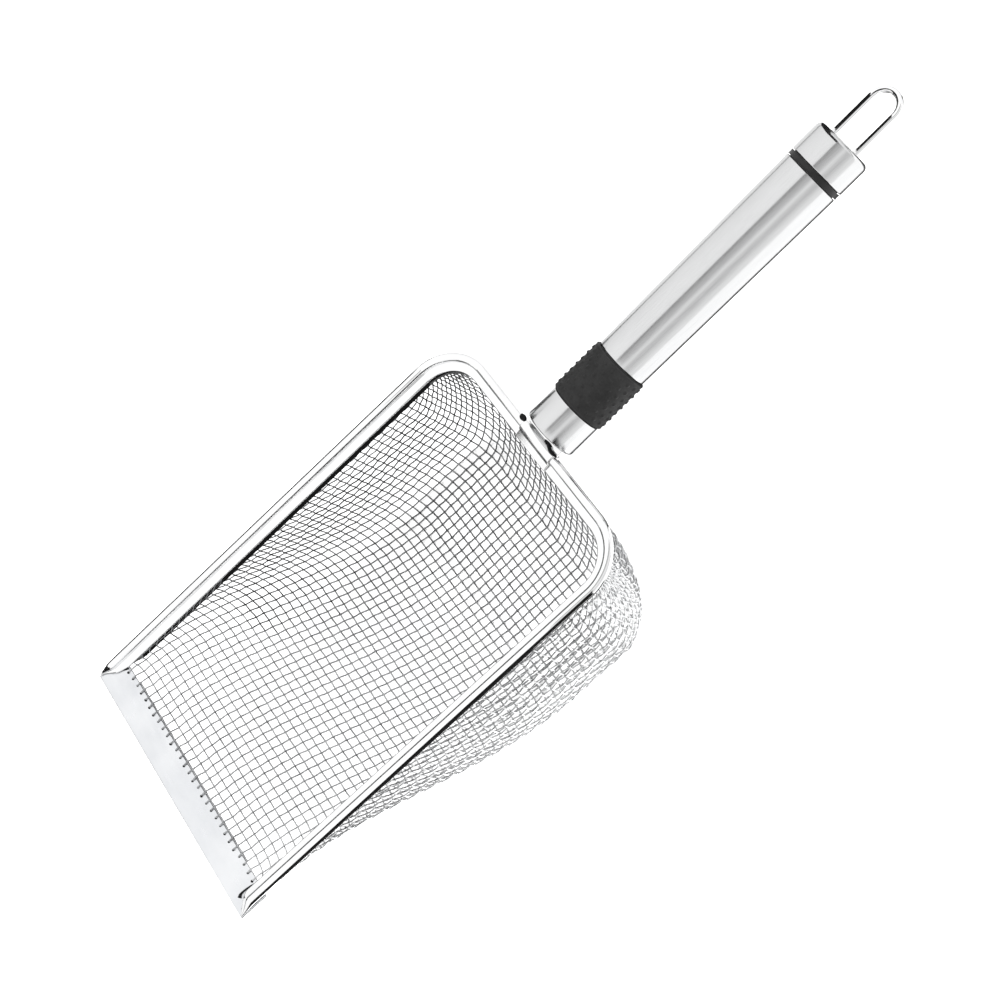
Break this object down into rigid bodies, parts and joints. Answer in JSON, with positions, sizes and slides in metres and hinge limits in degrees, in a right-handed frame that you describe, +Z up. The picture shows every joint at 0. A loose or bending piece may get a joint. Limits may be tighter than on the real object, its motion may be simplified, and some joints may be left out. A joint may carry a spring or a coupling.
{
  "type": "beach sand scoop",
  "caption": "Deep woven-wire sand scoop with a rolled steel rim, a flat digging edge across the mouth, and a brushed tubular handle with a rubber grip sleeve and a hanging loop.",
  "frame": {"origin": "on the ground under the middle of the object's length and width, with the rim level and the pan standing on the flat of its underside", "axes": "+X towards the mouth and digging edge, +Y to the left, +Z up; the handle runs to -X"},
  "size_m": [0.3508, 0.114, 0.0797],
  "materials": {
    "wire_cloth": "bright woven stainless wire",
    "polished_steel": "polished stainless",
    "plain_wire": "plain drawn wire",
    "satin_steel": "fine satin stainless sheet",
    "brushed_steel": "lengthwise brushed stainless tube",
    "black_rubber": "matte moulded rubber with small nubs",
    "black_plastic": "satin moulded",
    "core_plastic": "plain moulded insert"
  },
  "bodies": {
    "root": {"mesh_basket": "wire_cloth", "rim_channel": "polished_steel", "rim_core_wire": "plain_wire", "front_plate": "satin_steel", "neck_bracket": "satin_steel", "tang_rod": "plain_wire", "front_ferrule": "brushed_steel", "front_core": "core_plastic", "grip_sleeve": "black_rubber", "handle_tube": "brushed_steel", "rear_ring": "black_plastic", "rear_core": "core_plastic", "end_cap": "brushed_steel", "hanging_loop": "polished_steel"}
  },
  "joints": []
}
